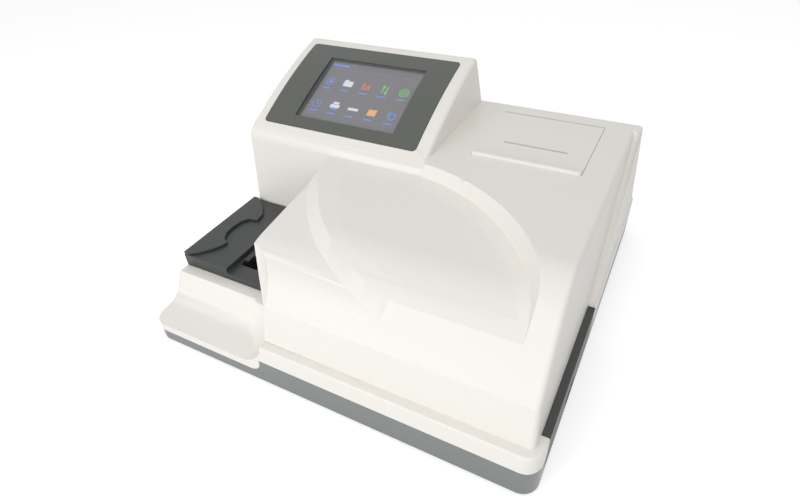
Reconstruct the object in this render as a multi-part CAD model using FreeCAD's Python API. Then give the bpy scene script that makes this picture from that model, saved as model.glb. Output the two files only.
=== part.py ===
import FreeCAD, Part
import math
import os

os.makedirs("parts", exist_ok=True)

# Driving dimensions, in millimetres
# Heights are above the underside of the base, depths are back from its front face.

body_width = 380.0
body_depth = 368.0
base_height = 27.3
shell_wall = 2.8
base_wall = 3.0
base_floor = 3.0
foot_height = 3.0
plan_corner = 14.0
ledge_height = 47.0
plateau_height = 145.4
display_height = 196.6
rear_lean = 17.3
overrun = 5.0
joint_gap = 0.3
running_gap = 0.05
full_turn = 360
touch_gap = 0.1

half_width = body_width / 2
base_front = -body_depth / 2
lean_ratio = math.tan(math.radians(rear_lean))


# Small helpers for places and plain solids

def from_left(span):
    """Offsets to the right from distances inside the left face."""
    return tuple(distance - half_width for distance in span)


def from_right(span):
    """Offsets to the right from distances inside the right face."""
    return tuple(half_width - distance for distance in span)


def from_rear(span):
    """Depths from distances in front of the rear face."""
    return tuple(body_depth - distance for distance in span)


def below_deck(span):
    """Heights from distances below the printer deck."""
    return tuple(plateau_height - distance for distance in span)


def spot(x, y, z):
    """A point from its offset to the right, its depth and its height."""
    return FreeCAD.Vector(x, base_front + y, foot_height + z)


def block(x0, x1, y0, y1, z0, z1):
    """A plain box between two corners."""
    return Part.makeBox(x1 - x0, y1 - y0, z1 - z0, spot(x0, y0, z0))


def rod(x, y, z, radius, length, axis):
    """A round bar that starts at a point and runs along an axis."""
    return Part.makeCylinder(radius, length, spot(x, y, z), FreeCAD.Vector(*axis))


def ring(x, y, z, outer, inner, length, axis):
    """A round tube that starts at a point."""
    hole = Part.makeCylinder(inner, length, spot(x, y, z), FreeCAD.Vector(*axis))
    return rod(x, y, z, outer, length, axis).cut(hole)


def prism_across(points, x0, x1):
    """A side outline of (depth, height) points, pulled from x0 to x1."""
    wire = Part.makePolygon([spot(x0, y, z) for y, z in points + points[:1]])
    return Part.Face(wire).extrude(FreeCAD.Vector(x1 - x0, 0, 0))


def prism_up(points, z0, z1):
    """A plan outline of (x, depth) points, pulled from z0 to z1."""
    wire = Part.makePolygon([spot(x, y, z0) for x, y in points + points[:1]])
    return Part.Face(wire).extrude(FreeCAD.Vector(0, 0, z1 - z0))


def edges_along(shape, axis, keep=None):
    """The straight edges of a shape that run along an axis."""
    found = []
    for edge in shape.Edges:
        if edge.Curve.TypeId != "Part::GeomLine":
            continue
        if abs(edge.tangentAt(edge.FirstParameter).dot(axis)) > parallel_share:
            if keep is None or keep(edge.CenterOfMass):
                found.append(edge)
    return found


parallel_share = 0.9999
ALONG_X = FreeCAD.Vector(1, 0, 0)
ALONG_Y = FreeCAD.Vector(0, 1, 0)
ALONG_Z = FreeCAD.Vector(0, 0, 1)


def rounded_block(x0, x1, y0, y1, z0, z1, radius, axis):
    """A box whose edges along one axis are rounded."""
    box = block(x0, x1, y0, y1, z0, z1)
    return box.makeFillet(radius, edges_along(box, axis))


def soften(shape, radius, keep):
    """Round the edges whose middle passes a test on offset, depth and height."""
    found = []
    for edge in shape.Edges:
        middle = edge.CenterOfMass
        if keep(middle.x, middle.y - base_front, middle.z - foot_height):
            found.append(edge)
    return shape.makeFillet(radius, found)


def group(shapes):
    """Several separate solids that share one node."""
    return Part.makeCompound(shapes)


def save(name, shape):
    """Write one sub-part."""
    shape.exportStep("parts/" + name + ".step")


def rear_depth(z):
    """Depth of the leaning rear wall at a height."""
    return body_depth + rear_offset - lean_ratio * z


rear_offset = 3.0


# Base tray: dark grey moulding with four walls, screw posts and foot pockets

tab_bottom = 11.5
tab_right_x_from_left = 133.0
tab_right_x = tab_right_x_from_left - half_width
tab_depth = 46.0
tab_radius = 13.0
vent_count = 9
vent_width = 3.0
vent_length = 34.0
vent_pitch = 8.0
vent_x_from_left = 50.0
vent_x = vent_x_from_left - half_width
vent_y_from_rear = 106.0
vent_y = body_depth - vent_y_from_rear
post_radius = 5.0
screw_radius = 1.6
screw_inset = 20.0
screw_side = half_width - screw_inset
screw_y_from_rear = 16.0
screw_rear_y = body_depth - screw_y_from_rear
screw_front_y = 12.0
screw_left_y = 70.0
screw_middle_x = (-20.0, -100.0)
screw_places = ((-screw_side, screw_left_y), (screw_middle_x[0], screw_front_y),
                (screw_side, screw_front_y), (-screw_side, screw_rear_y),
                (screw_middle_x[1], screw_rear_y), (screw_side, screw_rear_y))
foot_radius = 9.0
foot_bevel = 1.0
foot_inset_x = 32.0
foot_inset_y = 34.0
foot_recess = 1.2
drawer_y = (23.0, 165.0)
drawer_top = 46.6
drawer_sill = 5.0
corner_least = 2.0
screw_head_radius = 3.0
screw_head_z = (0.2, 2.2)
screw_tip = 36.0
motor_seat_x_from_left = (12.0, 36.0)
motor_seat_x = from_left(motor_seat_x_from_left)
motor_seat_y = (101.0, 125.0)
motor_low = 10.0


def rounded_plan(inset, z0, z1, radius):
    """An upright block with the rounded plan of the base, drawn in by an inset."""
    box = block(-half_width + inset, half_width - inset, inset, body_depth - inset, z0, z1)
    return box.makeFillet(max(radius - inset, corner_least), edges_along(box, ALONG_Z))


def tab_block(x1, low, inset):
    """The low block at the front left where the cover reaches down over the base."""
    box = block(-half_width - overrun, x1, -overrun, tab_depth - inset, low, base_height + overrun)
    corner = edges_along(box, ALONG_Y, lambda c: c.x > x1 - overrun and c.z < base_height)
    return box.makeFillet(tab_radius, corner)


def foot_places():
    """Feet at the four corners."""
    across = half_width - foot_inset_x
    deep = body_depth - foot_inset_y
    return [(side * across, y) for side in (-1, 1) for y in (foot_inset_y, deep)]


def base_chassis():
    outer = rounded_plan(0, 0, base_height, plan_corner)
    inner = rounded_plan(base_wall, base_floor, base_height + overrun, plan_corner)
    shape = outer.cut(inner).cut(tab_block(tab_right_x, tab_bottom, 0))
    for x, y in screw_places:
        post_height = base_height - base_floor + touch_gap
        shape = shape.fuse(rod(x, y, base_floor - touch_gap, post_radius, post_height,
                               (0, 0, 1)))
    shape = shape.fuse(block(*motor_seat_x, *motor_seat_y, base_floor - touch_gap, motor_low))
    for x, y in screw_places:
        shape = shape.cut(rod(x, y, -overrun, screw_radius, base_height + 2 * overrun, (0, 0, 1)))
        well_radius = screw_head_radius + joint_gap
        shape = shape.cut(rod(x, y, -overrun, well_radius, overrun + screw_head_z[1], (0, 0, 1)))
    for x, y in foot_places():
        shape = shape.cut(rod(x, y, -overrun, foot_radius + touch_gap, overrun + foot_recess, (0, 0, 1)))
    for step in range(vent_count):
        x = vent_x + step * vent_pitch
        shape = shape.cut(block(x, x + vent_width, vent_y, vent_y + vent_length, -overrun,
                                base_floor + overrun))
    opening = block(half_width - base_wall - overrun, half_width + overrun, drawer_y[0] - joint_gap,
                    drawer_y[1] + joint_gap, drawer_sill - joint_gap, base_height + overrun)
    return shape.cut(opening)


def cover_screws():
    screws = []
    for x, y in screw_places:
        low, high = screw_head_z
        head = rod(x, y, low, screw_head_radius, high - low, (0, 0, 1))
        screws.append(head.fuse(rod(x, y, low, screw_radius - touch_gap, screw_tip - low, (0, 0, 1))))
    return group(screws)


def rubber_feet():
    feet = []
    for x, y in foot_places():
        cone = Part.makeCone(foot_radius - foot_bevel, foot_radius, foot_bevel, spot(x, y, -foot_height))
        foot = cone.fuse(rod(x, y, foot_bevel - foot_height, foot_radius,
                             foot_height - foot_bevel + foot_recess, (0, 0, 1)))
        feet.append(foot)
    return group(feet)


# Upper housing: one white moulding made of a skirt, a hood, a display box and a side rib

seam_height = base_height + touch_gap
front_foot_y = 8.5
crease_y = 13.3
crease_height_below_deck = 60.1
crease_height = plateau_height - crease_height_below_deck
facet_angle = 44.0
facet_blend = 60.0
hood_left_x_from_left = 109.7
hood_left_x = hood_left_x_from_left - half_width
hood_right_x_from_right = 6.8
hood_right_x = half_width - hood_right_x_from_right
side_draft_share = 0.052
middle_floor_drops = ((40.4, 34.1), (62.0, 23.4), (92.0, 18.2), (190.0, 10.5))
middle_floor = tuple((y, plateau_height - drop) for y, drop in middle_floor_drops)
low_floor_drops = ((28.9, 45.2), (42.0, 35.8), (62.0, 29.2), (190.0, 12.8))
low_floor = tuple((y, plateau_height - drop) for y, drop in low_floor_drops)
leaf_centre = (-5.5, -0.6)
leaf_top_radius = 180.6
leaf_foot_radius = 175.2
leaf_foot_drop = 16.0
leaf_behind = 11.5
low_centre = (92.6, 217.0)
low_foot_radius = 191.5
low_top_radius = 180.0
low_band_angles = (158.0, 171.0, 184.0, 197.0, 210.0, 223.0, 235.0, 245.0, 252.0, 257.0, 262.0)
low_right_x = 92.0
scoop_from_left = 98.0
scoop_centre = (scoop_from_left - half_width, 3.0)
scoop_top_radius = 49.0
scoop_low_radius = 39.0
scoop_top = 110.0
scoop_low = 35.0
display_left_x_from_left = 3.0
display_left_x = display_left_x_from_left - half_width
display_right_x_from_left = 211.7
display_right_x = display_right_x_from_left - half_width
display_draft_share = 0.03
display_front_y = 167.7
display_front_lean_share = 0.085
knee_y = 176.4
knee_height_below_deck = 4.9
knee_height = plateau_height - knee_height_below_deck
knee_inset_share = 0.75
knee_bend = 17.0
crest_y_from_rear = 63.0
crest_y = body_depth - crest_y_from_rear
crest_inset_share = 0.1
crest_crown = 4.6
crown_lean_share = 0.4
rib_front_y = 158.0
rib_shoulder = 13.0
rib_corner = 6.0
rib_outer_x_from_right = 1.4
rib_outer_x = half_width - rib_outer_x_from_right
rib_lean_share = 0.047
rib_root = 12.0
deck_y = (46.5, 60.0)
cove_drop = (39.5, 36.0)
cove_bow = (33.6, 26.4)
cove_floor = (24.0, 21.9)
cove_lip = (1.2, 20.4)
cove_end_flat = (8.0, 19.4)
cove_end_bend = (28.8, 26.6)
cove_end_top = 42.0
pocket_y = (57.0, 168.0)
pocket_floor = 44.5
pocket_top = 64.0
pocket_window_x_from_left = (56.0, 120.0)
pocket_window_x = from_left(pocket_window_x_from_left)
pocket_window_y = (74.0, 152.0)
boss_radius = 4.6
hood_edge = 4.0
rim_edge = 3.0
display_edge = 4.0
skirt_edge = 1.6
boss_top = 60.0


def line(a, b, x):
    """A straight edge between two (depth, height) points in the plane at x."""
    return Part.LineSegment(spot(x, *a), spot(x, *b)).toShape()


def bow(a, b, c, x):
    """An arc through three (depth, height) points in the plane at x."""
    return Part.Arc(spot(x, *a), spot(x, *b), spot(x, *c)).toShape()


def pulled(edges, width):
    """A solid from side edges, pulled to the right."""
    return Part.Face(Part.Wire(edges)).extrude(FreeCAD.Vector(width, 0, 0))


def lower(point, inset):
    """A side point moved straight down by an inset."""
    return (point[0], point[1] - inset)


def hood_side(inset, bottom):
    """The hood's side outline with its front facet blended into the plateau."""
    slope = math.radians(facet_angle)
    meet = crease_y + (plateau_height - crease_height) / math.tan(slope)
    tangent = facet_blend * math.tan(slope / 2)
    reach = facet_blend / math.cos(slope / 2) - facet_blend
    start = lower((meet - tangent * math.cos(slope), plateau_height - tangent * math.sin(slope)),
                  inset / math.cos(slope))
    middle = lower((meet + reach * math.sin(slope / 2), plateau_height - reach * math.cos(slope / 2)),
                   inset / math.cos(slope / 2))
    end = lower((meet + tangent, plateau_height), inset)
    lean = (crease_y - front_foot_y) / (crease_height - ledge_height)
    foot = (crease_y - lean * (crease_height - bottom) + inset, bottom)
    crease = (crease_y + inset, crease_height - inset * math.tan(slope / 2))
    rear_top = (rear_depth(plateau_height - inset) - inset, plateau_height - inset)
    rear_foot = (rear_depth(bottom) - inset, bottom)
    x = hood_left_x + inset
    edges = [line(foot, crease, x), line(crease, start, x), bow(start, middle, end, x),
             line(end, rear_top, x), line(rear_top, rear_foot, x), line(rear_foot, foot, x)]
    return pulled(edges, half_width - x)


def above_curve(floor, inset):
    """Everything above a gently bent floor that starts on the facet and runs to the rear."""
    start, bend, knee, end = [lower(point, inset) for point in floor]
    early = (2 * start[0] - bend[0], 2 * start[1] - bend[1])
    rise = (end[1] - knee[1]) / (end[0] - knee[0])
    far = (body_depth, end[1] + rise * (body_depth - end[0]))
    top = plateau_height + overrun
    x = hood_left_x - overrun
    edges = [line(early, start, x), bow(start, bend, knee, x), line(knee, far, x),
             line(far, (far[0], top), x), line((far[0], top), (early[0], top), x),
             line((early[0], top), early, x)]
    return pulled(edges, half_width - x)


def drafted_side(x, draft, side, inset):
    """A wedge that trims a wall so that it leans in as it rises."""
    high = display_height + overrun
    edge_low = x - side * (inset - draft * ledge_height)
    edge_high = x - side * (inset + draft * (high - ledge_height))
    far = side * body_width
    outline = [spot(edge_low, -overrun, 0), spot(edge_high, -overrun, high), spot(far, -overrun, high),
               spot(far, -overrun, 0)]
    face = Part.Face(Part.makePolygon(outline + outline[:1]))
    return face.extrude(FreeCAD.Vector(0, body_depth + 2 * overrun, 0))


def cone_up(centre, low_radius, top_radius, low, top, grow):
    """A round cutter that widens as it rises, carried past both of its given heights."""
    slope = (top_radius - low_radius) / (top - low)
    z0 = tab_bottom - 2 * overrun
    z1 = display_height
    r0 = low_radius + slope * (z0 - low) + grow
    r1 = low_radius + slope * (z1 - low) + grow
    return Part.makeCone(r0, r1, z1 - z0, spot(centre[0], centre[1], z0))


def scoop(grow):
    """The round hand clearance between the cove and the hood."""
    return cone_up(scoop_centre, scoop_low_radius, scoop_top_radius, scoop_low, scoop_top, grow)


def cove_end(grow):
    """The round right end of the cove, with a soft corner down at its floor."""
    x, y = scoop_centre
    slope = (scoop_top_radius - scoop_low_radius) / (scoop_top - scoop_low)
    points = [(0, cove_end_flat[1]), cove_end_flat, cove_end_bend,
              (scoop_low_radius + slope * (cove_end_top - scoop_low), cove_end_top),
              (scoop_low_radius + slope * (display_height - scoop_low), display_height), (0, display_height)]
    a, b, c, d, e, f = [spot(x + radius + (grow if radius else 0), y, z - grow) for radius, z in points]
    edges = [Part.LineSegment(p, q).toShape() for p, q in ((a, b), (d, e), (e, f), (f, a))]
    edges.insert(1, Part.Arc(b, c, d).toShape())
    return Part.Face(Part.Wire(edges)).revolve(spot(x, y, 0), ALONG_Z, full_turn)


def leaf_wall(inset):
    """Everything inside the drafted round wall of the leaf and above its floor."""
    inside = cone_up(leaf_centre, leaf_foot_radius, leaf_top_radius, plateau_height - leaf_foot_drop,
                     plateau_height, inset)
    return above_curve(middle_floor, inset).common(inside)


def beside_leaf(inset, bottom):
    """Everything above the leaf's floor to the left of its round wall, up to the display box."""
    wall_x = display_right_x - display_draft_share * (plateau_height - ledge_height)
    side = block(hood_left_x - overrun, wall_x, leaf_centre[1], knee_y + leaf_behind + inset, 0,
                 display_height)
    return above_curve(middle_floor, inset).common(side).cut(display_mass(inset, bottom))


def floor_height(floor, depth, inset):
    """Height of a bent floor at a depth: an arc through its first three points, then a straight line."""
    (y0, z0), (y1, z1), (y2, z2), (y3, z3) = [lower(point, inset) for point in floor]
    if depth > y2:
        return z2 + (z3 - z2) * (depth - y2) / (y3 - y2)
    if depth < y0:
        return z0 + (z1 - z0) * (depth - y0) / (y1 - y0)
    arc = Part.Arc(spot(0, y0, z0), spot(0, y1, z1), spot(0, y2, z2)).toShape().Curve
    centre = arc.Center
    side = spot(0, depth, 0).y - centre.y
    return centre.z + math.sqrt(arc.Radius ** 2 - side ** 2) - foot_height


def facet_height(depth, inset):
    """Height just above the front facet at a depth."""
    slope = math.radians(facet_angle)
    return crease_height + (depth - crease_y) * math.tan(slope) - inset / math.cos(slope) + touch_gap


def low_field(inset):
    """The lowest field: outside the second arc, with a slanting band that runs out on the facet."""
    x, y = low_centre
    top = display_height
    around = rod(x, y, base_height, low_foot_radius - inset, top - base_height, (0, 0, 1))
    plan = block(-half_width, low_right_x, -overrun, y, base_height, top).cut(around)
    floor = above_curve(low_floor, inset).common(plan)
    sections = []
    for angle in low_band_angles:
        across, deep = math.cos(math.radians(angle)), math.sin(math.radians(angle))
        foot = low_foot_radius - inset + touch_gap
        high = low_top_radius - inset
        foot_y = y + foot * deep
        high_y = y + high * deep
        foot_z = floor_height(low_floor, foot_y, inset)
        high_z = floor_height(middle_floor, high_y, inset)
        if angle == low_band_angles[-1]:
            foot_z = facet_height(foot_y, inset)
            high_z = facet_height(high_y, inset)
        corners = [spot(x + foot * across, foot_y, foot_z), spot(x + high * across, high_y, high_z),
                   spot(x + high * across, high_y, top), spot(x + foot * across, foot_y, top)]
        sections.append(Part.makePolygon(corners + corners[:1]))
    return floor.fuse(Part.makeLoft(sections, True))


def hood_mass(inset, bottom):
    """The hood with its plateau, leaf field and low field; only its outside is rounded."""
    shape = hood_side(inset, bottom)
    shape = shape.cut(drafted_side(hood_right_x, side_draft_share, 1, inset))
    if not inset:
        shape = soften(shape, hood_edge,
                       lambda x, y, z: x > half_width - rib_root - overrun and z > base_height + overrun)
    shape = shape.cut(scoop(inset))
    if not inset:
        shape = soften(shape, rim_edge,
                       lambda x, y, z: x < scoop_centre[0] / 2 and y < deck_y[1] and z > crease_height)
    shape = shape.cut(leaf_wall(inset)).cut(beside_leaf(inset, bottom))
    return shape.cut(low_field(inset))


def display_mass(inset, bottom):
    """The display box with a crowned sloping face."""
    foot = (display_front_y - display_front_lean_share * (ledge_height - bottom) + inset, bottom)
    knee = (knee_y + inset, knee_height - inset * knee_inset_share)
    crest = (crest_y - inset * crest_inset_share, display_height - inset)
    middle = ((knee[0] + crest[0]) / 2 - crest_crown * crown_lean_share,
              (knee[1] + crest[1]) / 2 + crest_crown)
    rear_top = (rear_depth(display_height - inset) - inset, display_height - inset)
    rear_foot = (rear_depth(bottom) - inset, bottom)
    x = display_left_x - overrun
    edges = [line(foot, knee, x), bow(knee, middle, crest, x), line(crest, rear_top, x),
             line(rear_top, rear_foot, x), line(rear_foot, foot, x)]
    shape = pulled(edges, display_right_x + overrun - x)
    shape = soften(shape, knee_bend - inset,
                   lambda x, y, z: abs(y - knee[0]) < touch_gap and abs(z - knee[1]) < touch_gap)
    shape = shape.cut(drafted_side(display_right_x, display_draft_share, 1, inset))
    return shape.cut(drafted_side(display_left_x, display_draft_share, -1, inset))


def display_outside():
    """The display box with its edges rounded."""
    return soften(display_mass(0, seam_height), display_edge, lambda x, y, z: z > ledge_height)


def side_rib():
    """The wedge-shaped rib that rises along the right side to a round shoulder at the rear."""
    rear_y = rear_depth(plateau_height)
    outline = [(rib_front_y, seam_height), (rib_front_y, ledge_height), (rear_y - rib_shoulder, plateau_height),
               (rear_y, plateau_height), (rear_depth(seam_height), seam_height)]
    rib = prism_across(outline, hood_right_x - rib_root, half_width)
    rib = rib.cut(drafted_side(rib_outer_x, rib_lean_share, 1, 0))
    return soften(rib, rib_corner, lambda x, y, z: x > hood_right_x and y > rear_y)


def skirt_mass(inset, bottom):
    """The low block under the hood, with the rounded plan of the base and the leaning rear wall."""
    shape = rounded_plan(inset, bottom, ledge_height - inset, plan_corner)
    top = display_height
    far = body_depth + body_depth
    behind = [(rear_depth(0) - inset, 0), (rear_depth(top) - inset, top), (far, top), (far, 0)]
    return shape.cut(prism_across(behind, -body_width, body_width))


def tab_mass(inset):
    """The part of the cover that reaches down over the front left of the base."""
    low = tab_bottom + touch_gap
    gap = touch_gap + inset
    if inset:
        low = tab_bottom - overrun
    return tab_block(tab_right_x - gap, low, gap).common(rounded_plan(inset, low, base_height + overrun,
                                                                      plan_corner))


def cove_region(grow):
    """The scooped space in front of the tray; grown, it leaves a wall under itself."""
    x = -half_width - overrun
    front = (-overrun, cove_lip[1])
    top = display_height
    edges = [line((deck_y[1], ledge_height), (deck_y[0], ledge_height), x),
             line((deck_y[0], ledge_height), cove_drop, x), bow(cove_drop, cove_bow, cove_floor, x),
             line(cove_floor, cove_lip, x), line(cove_lip, front, x), line(front, (-overrun, top), x),
             line((-overrun, top), (deck_y[1], top), x), line((deck_y[1], top), (deck_y[1], ledge_height), x)]
    space = pulled(edges, half_width)
    space.translate(FreeCAD.Vector(0, grow, -grow))
    left = block(x, scoop_centre[0], -body_depth, body_depth, 0, display_height)
    return space.common(left.fuse(cove_end(grow)))


def tray_pocket(grow, x1):
    """The level step for the strip tray, open to the left and under the hood."""
    return block(-half_width - overrun, x1, pocket_y[0] - grow, pocket_y[1] + grow, pocket_floor - grow,
                 pocket_top)


def cover_shell():
    """The plain moulding before its openings."""
    skirt = soften(skirt_mass(0, seam_height), skirt_edge, lambda x, y, z: z > ledge_height - touch_gap)
    outer = hood_mass(0, seam_height).fuse([display_outside(), skirt, side_rib()])
    outer = outer.fuse(tab_mass(0)).removeSplitter()
    low = seam_height - overrun
    inner = hood_mass(shell_wall, low).fuse([display_mass(shell_wall, low), skirt_mass(shell_wall, low)])
    inner = inner.fuse(tab_mass(shell_wall)).removeSplitter()
    inner = inner.cut(cove_region(shell_wall)).cut(tray_pocket(shell_wall, hood_left_x + shell_wall))
    shape = outer.cut(inner)
    bosses = [rod(x, y, seam_height, boss_radius, boss_top - seam_height, (0, 0, 1)) for x, y in screw_places]
    shape = shape.fuse(group(bosses).common(outer))
    return shape.cut(cove_region(0)).cut(tray_pocket(0, hood_left_x + 2 * shell_wall))


# Display: bezel, touch glass, colour screen, bracket and board, all on the tilted face

slope_angle = math.degrees(math.atan2(display_height - knee_height, crest_y - knee_y))
slope_start = 28.8
slope_rise = 0.27
slope_across = math.cos(math.radians(slope_angle))
slope_up = math.sin(math.radians(slope_angle))
slope_origin = (knee_y + slope_start * slope_across - slope_rise * slope_up,
                knee_height + slope_start * slope_up + slope_rise * slope_across)
bezel_x_from_left = (18.5, 194.4)
bezel_x = from_left(bezel_x_from_left)
bezel_u = (-13.2, 103.3)
bezel_corner = 4.0
bezel_proud = 0.6
bezel_sunk = 2.4
bezel_bed = 5.6
bed_margin = 5.0
screen_x_from_left = (51.3, 165.4)
screen_x = from_left(screen_x_from_left)
screen_u = (0.0, 84.0)
screen_open_x_from_left = (42.0, 175.0)
screen_open_x = from_left(screen_open_x_from_left)
screen_open_u = (-8.0, 92.0)
glass_margin = 3.3
glass_n = (0.2, 1.4)
lcd_margin = 2.4
lcd_n = (-4.3, 0.1)
bracket_x_from_left = (24.0, 188.0)
bracket_x = from_left(bracket_x_from_left)
bracket_u = (-10.0, 99.0)
bracket_n = (-6.0, -4.4)
bracket_boss_x_from_left = (31.0, 181.0)
bracket_boss_x = from_left(bracket_boss_x_from_left)
bracket_boss_u = (-3.0, 92.0)
bracket_boss_radius = 4.0
board_n = (-12.0, -10.4)
board_x_from_left = (50.0, 150.0)
board_x = from_left(board_x_from_left)
board_u = (6.0, 80.0)
board_post_radius = 2.5
board_post_inset = 6.0
slope_screw_radius = 1.3
slope_screw_head_radius = 2.6
slope_screw_head = 1.8
slope_screw_depth = 2.6


def on_slope(shape):
    """Carry a shape drawn flat over to the tilted display face."""
    shape.rotate(FreeCAD.Vector(0, 0, 0), ALONG_X, slope_angle)
    shape.translate(spot(0, *slope_origin))
    return shape


def slope_block(x, u, n, grow=0):
    """A box on the display face from its spans across, up the slope and out of it."""
    box = Part.makeBox(x[1] - x[0] + 2 * grow, u[1] - u[0] + 2 * grow, n[1] - n[0],
                       FreeCAD.Vector(x[0] - grow, u[0] - grow, n[0]))
    return on_slope(box)


def slope_rod(x, u, n, radius):
    """A round bar that stands out of the display face."""
    return on_slope(Part.makeCylinder(radius, n[1] - n[0], FreeCAD.Vector(x, u, n[0])))


def bezel_outline(grow):
    """The bezel's outline as a deep rounded block."""
    reach = (-3 * bezel_corner, 3 * bezel_corner)
    size = Part.makeBox(bezel_x[1] - bezel_x[0] + 2 * grow, bezel_u[1] - bezel_u[0] + 2 * grow,
                        reach[1] - reach[0], FreeCAD.Vector(bezel_x[0] - grow, bezel_u[0] - grow, reach[0]))
    rounded = size.makeFillet(bezel_corner + grow, edges_along(size, ALONG_Z))
    return on_slope(rounded)


def boss_spots():
    """Where the bracket is screwed to the housing."""
    return [(x, u) for x in bracket_boss_x for u in bracket_boss_u]


def display_seat(shape):
    """Give the housing its bezel bed, its screen opening and its bracket bosses."""
    bed = display_mass(bezel_sunk, seam_height).cut(display_mass(bezel_bed, seam_height - overrun))
    shape = shape.fuse(bed.common(bezel_outline(bed_margin)))
    core = display_mass(bezel_sunk, seam_height)
    for x, u in boss_spots():
        shape = shape.fuse(slope_rod(x, u, (bracket_n[1], bezel_bed), bracket_boss_radius).common(core))
    shape = shape.cut(bezel_outline(joint_gap).cut(display_mass(bezel_sunk + touch_gap, seam_height)))
    shape = shape.cut(slope_block(screen_open_x, screen_open_u,
                                  (-bezel_bed - bezel_bed, bezel_bed + bezel_bed)))
    for x, u in boss_spots():
        shape = shape.cut(slope_rod(x, u, (bracket_n[0], bracket_n[1] + slope_screw_depth),
                                    slope_screw_radius))
    return shape


def screen_bezel():
    skin = display_mass(-bezel_proud, seam_height).cut(display_mass(bezel_sunk, seam_height - overrun))
    shape = skin.common(bezel_outline(0))
    shape = shape.cut(slope_block(screen_x, screen_u, (-bezel_bed, bezel_bed + bezel_bed)))
    return shape.cut(slope_block(screen_x, screen_u, (-bezel_bed, glass_n[1] + touch_gap),
                                 glass_margin + joint_gap))


def touch_panel():
    return slope_block(screen_x, screen_u, glass_n, glass_margin)


def lcd_module():
    return slope_block(screen_x, screen_u, lcd_n, lcd_margin)


def display_bracket():
    shape = slope_block(bracket_x, bracket_u, bracket_n)
    for x in (board_x[0] + board_post_inset, board_x[1] - board_post_inset):
        for u in (board_u[0] + board_post_inset, board_u[1] - board_post_inset):
            shape = shape.fuse(slope_rod(x, u, (board_n[1], bracket_n[0] + touch_gap), board_post_radius))
    for x, u in boss_spots():
        shape = shape.cut(slope_rod(x, u, (bracket_n[0] - overrun, bracket_n[1] + overrun),
                                    slope_screw_radius + touch_gap))
    return shape


def display_board():
    return slope_block(board_x, board_u, board_n)


def display_screws():
    screws = []
    for x, u in boss_spots():
        head = slope_rod(x, u, (bracket_n[0] - slope_screw_head, bracket_n[0]), slope_screw_head_radius)
        shaft = slope_rod(x, u, (bracket_n[0] - touch_gap, bracket_n[1] + slope_screw_depth - touch_gap),
                          slope_screw_radius - touch_gap)
        screws.append(head.fuse(shaft))
    return group(screws)


# Printer: a hinged door with the platen roller, over a tub with the paper roll and the print head

door_x_from_right = (139.0, 39.0)
door_x = from_right(door_x_from_right)
door_y_from_rear = (158.0, 58.5)
door_y = from_rear(door_y_from_rear)
door_proud = 0.6
door_thick = 3.0
door_corner = 3.0
door_lip_y_from_rear = (158.0, 149.0)
door_lip_y = from_rear(door_lip_y_from_rear)
door_lip_rise = 3.0
slot_x_from_right = (118.7, 58.6)
slot_x = from_right(slot_x_from_right)
slot_y_from_rear = (124.8, 122.2)
slot_y = from_rear(slot_y_from_rear)
pin_y_from_rear = 64.0
pin_y = body_depth - pin_y_from_rear
pin_drop = 5.2
pin_radius = 1.3
door_tail_radius = 6.1
knuckle_radius = 3.0
knuckle_spans_from_right = ((132.0, 122.0), (56.0, 46.0))
knuckle_spans = tuple(from_right(span) for span in knuckle_spans_from_right)
ear_spans_from_right = ((136.6, 132.4), (41.6, 37.4))
ear_spans = tuple(from_right(span) for span in ear_spans_from_right)
ear_drop = 8.0
ear_radius = 2.3
door_arm_spans_from_right = ((128.0, 125.0), (53.0, 50.0))
door_arm_spans = tuple(from_right(span) for span in door_arm_spans_from_right)
door_arm_y_from_rear = (122.0, 110.0)
door_arm_y = from_rear(door_arm_y_from_rear)
platen_y_from_rear = 116.4
platen_y = body_depth - platen_y_from_rear
platen_height_below_deck = 10.8
platen_height = plateau_height - platen_height_below_deck
platen_radius = 5.0
platen_x_from_right = (124.0, 54.0)
platen_x = from_right(platen_x_from_right)
platen_shaft_radius = 1.6
platen_shaft_x_from_right = (130.0, 44.0)
platen_shaft_x = from_right(platen_shaft_x_from_right)
platen_gear_x_from_right = (48.8, 45.4)
platen_gear_x = from_right(platen_gear_x_from_right)
gear_radius = 7.0
gear_teeth = 18
tooth_depth = 1.2
tub_x_from_right = (137.0, 37.0)
tub_x = from_right(tub_x_from_right)
tub_y_from_rear = (154.0, 66.0)
tub_y = from_rear(tub_y_from_rear)
tub_wall = 2.0
tub_z_below_deck = (62.5, 6.8)
tub_z = below_deck(tub_z_below_deck)
flange_x_from_right = (143.0, 33.0)
flange_x = from_right(flange_x_from_right)
flange_y_from_rear = (161.0, 52.0)
flange_y = from_rear(flange_y_from_rear)
flange_z_below_deck = (6.8, 2.9)
flange_z = below_deck(flange_z_below_deck)
roll_y_from_rear = 93.4
roll_y = body_depth - roll_y_from_rear
roll_height_below_deck = 35.4
roll_height = plateau_height - roll_height_below_deck
roll_radius = 24.8
roll_core = 6.2
roll_x_from_right = (117.0, 60.0)
roll_x = from_right(roll_x_from_right)
head_x_from_right = (122.0, 56.0)
head_x = from_right(head_x_from_right)
head_y_from_rear = (126.4, 122.6)
head_y = from_rear(head_y_from_rear)
head_z_below_deck = (25.4, 6.0)
head_z = below_deck(head_z_below_deck)
frame_y_from_rear = (142.0, 126.5)
frame_y = from_rear(frame_y_from_rear)
frame_z_below_deck = (60.4, 17.4)
frame_z = below_deck(frame_z_below_deck)
frame_wall = 2.5
drive_motor_x_from_right = (36.9, 21.0)
drive_motor_x = from_right(drive_motor_x_from_right)
drive_motor_y_from_rear = (140.0, 120.0)
drive_motor_y = from_rear(drive_motor_y_from_rear)
drive_motor_z_below_deck = (37.4, 17.4)
drive_motor_z = below_deck(drive_motor_z_below_deck)
mesh_angle = 140.0
mesh_distance = 21.3
motor_gear_y = platen_y - mesh_distance * math.sin(math.radians(mesh_angle))
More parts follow.
